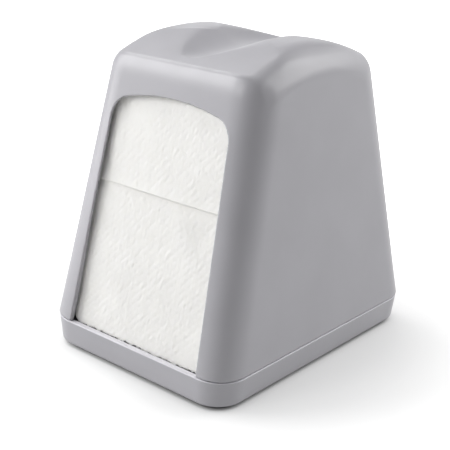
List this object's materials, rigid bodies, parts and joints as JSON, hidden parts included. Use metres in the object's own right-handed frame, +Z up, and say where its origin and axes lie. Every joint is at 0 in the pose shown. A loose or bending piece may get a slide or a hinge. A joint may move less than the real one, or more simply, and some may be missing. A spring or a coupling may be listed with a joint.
{
  "type": "napkin dispenser",
  "caption": "Two-sided table napkin dispenser: tapered grey hood with a grip top and open windows on a latched base, with spring-loaded pushers feeding folded paper napkins.",
  "frame": {"origin": "centre of the footprint, on the table", "axes": "+Z up, -Y out of the front window, +X to the right of someone facing the front window"},
  "size_m": [0.1086, 0.1418, 0.144],
  "materials": {
    "hood_plastic": "satin moulded ABS, cool grey",
    "inner_plastic": "moulded, mid grey",
    "pusher_plastic": "moulded, grey",
    "latch_plastic": "moulded acetal, dark grey",
    "spring_steel": "drawn spring wire",
    "screw_steel": "zinc plated",
    "foot_rubber": "black rubber",
    "napkin_paper": "embossed tissue, off-white"
  },
  "bodies": {
    "base": {"base_tray": "hood_plastic", "bottom_plate": "inner_plastic", "spine": "inner_plastic", "front_spring_left": "spring_steel", "front_spring_right": "spring_steel", "rear_spring_left": "spring_steel", "rear_spring_right": "spring_steel", "front_napkin_stack": "napkin_paper", "rear_napkin_stack": "napkin_paper", "front_lead_napkin": "napkin_paper", "rear_lead_napkin": "napkin_paper", "left_latch_spring": "spring_steel", "right_latch_spring": "spring_steel", "front_left_foot": "foot_rubber", "front_right_foot": "foot_rubber", "rear_left_foot": "foot_rubber", "rear_right_foot": "foot_rubber", "spine_screws": "screw_steel", "bottom_plate_screws": "screw_steel"},
    "hood": {"cover": "hood_plastic"},
    "front_pusher": {"front_pusher": "pusher_plastic"},
    "rear_pusher": {"rear_pusher": "pusher_plastic"},
    "left_latch": {"left_latch": "latch_plastic"},
    "right_latch": {"right_latch": "latch_plastic"}
  },
  "joints": [
    {"name": "hood_lift", "type": "slide", "parent": "base", "child": "hood", "axis": [0, 0, 1], "range_m": [0, 0.16]},
    {"name": "front_pusher_slide", "type": "slide", "parent": "base", "child": "front_pusher", "axis": [0, -1, 0], "range_m": [0, 0.026], "deforming": ["front_spring_left", "front_spring_right", "front_napkin_stack"]},
    {"name": "rear_pusher_slide", "type": "slide", "parent": "base", "child": "rear_pusher", "axis": [0, 1, 0], "range_m": [0, 0.026], "deforming": ["rear_spring_left", "rear_spring_right", "rear_napkin_stack"]},
    {"name": "left_latch_slide", "type": "slide", "parent": "base", "child": "left_latch", "axis": [1, 0, 0], "range_m": [0, 0.0032], "stiffness_N_per_m": 120, "springref_m": -0.002, "deforming": ["left_latch_spring"]},
    {"name": "right_latch_slide", "type": "slide", "parent": "base", "child": "right_latch", "axis": [-1, 0, 0], "range_m": [0, 0.0032], "stiffness_N_per_m": 120, "springref_m": -0.002, "deforming": ["right_latch_spring"]}
  ]
}
